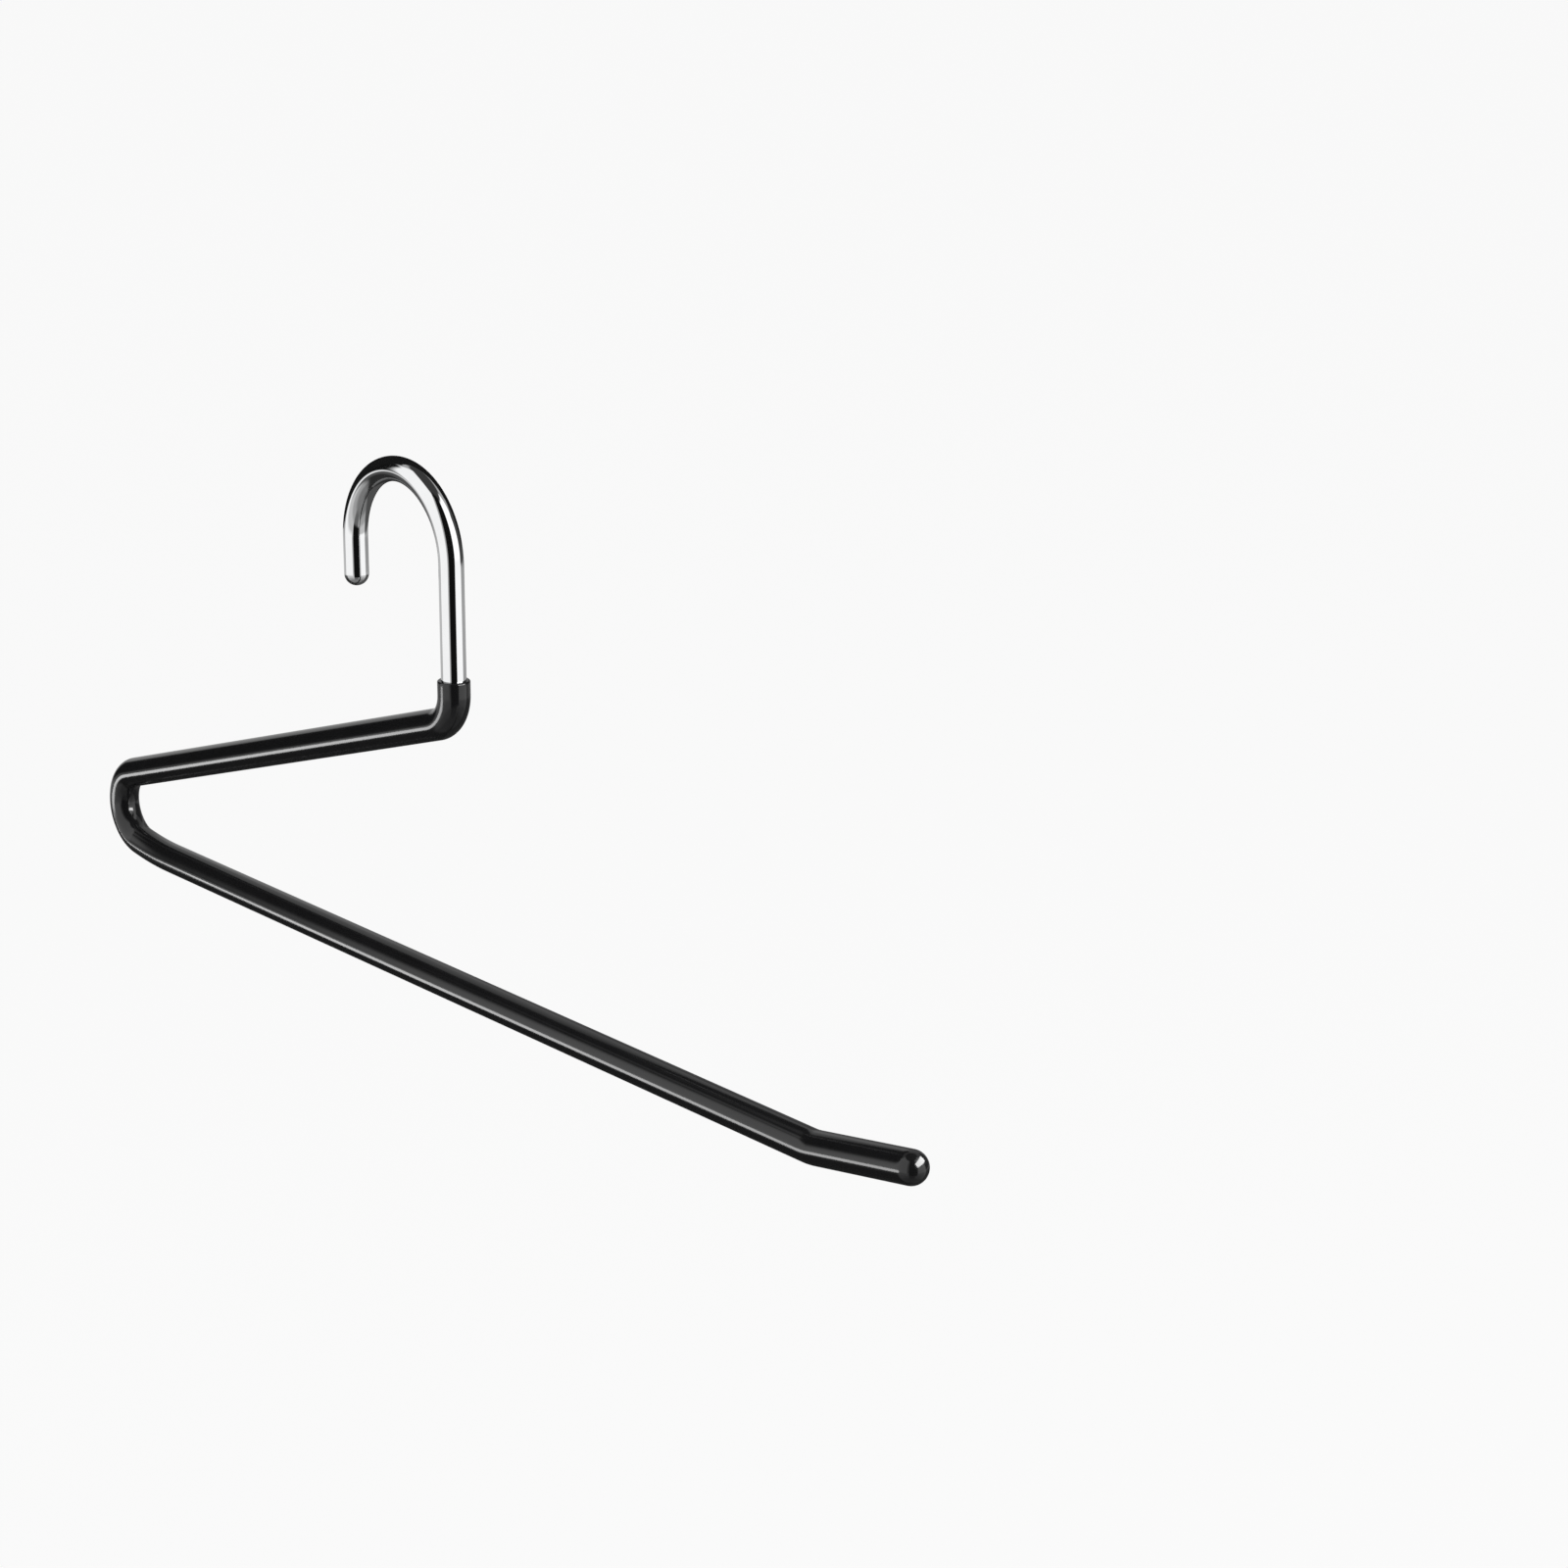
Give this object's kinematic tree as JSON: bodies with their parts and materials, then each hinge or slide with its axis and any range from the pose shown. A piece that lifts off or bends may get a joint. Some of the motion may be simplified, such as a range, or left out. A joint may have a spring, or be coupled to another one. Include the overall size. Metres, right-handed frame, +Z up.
{
  "type": "z-shaped trousers hanger",
  "caption": "Z-shaped hanger bent from one chrome rod: an open hook for a rail, a sloping arm and a long bar with a raised open tip, sheathed in a black grip sleeve.",
  "frame": {"origin": "the saddle: the middle of the inner face of the hook's crown, where the hanger rests on the rail", "axes": "+Z up, +X along the lower bar towards its open tip, +Y along the rail, across the hanger's thickness"},
  "size_m": [0.3503, 0.0086, 0.1437],
  "materials": {
    "chrome_rod": "polished chrome plating",
    "black_sleeve": "smooth glossy soft sleeve"
  },
  "bodies": {
    "root": {"hanger_wire": "chrome_rod", "grip_sleeve": "black_sleeve"}
  },
  "joints": []
}
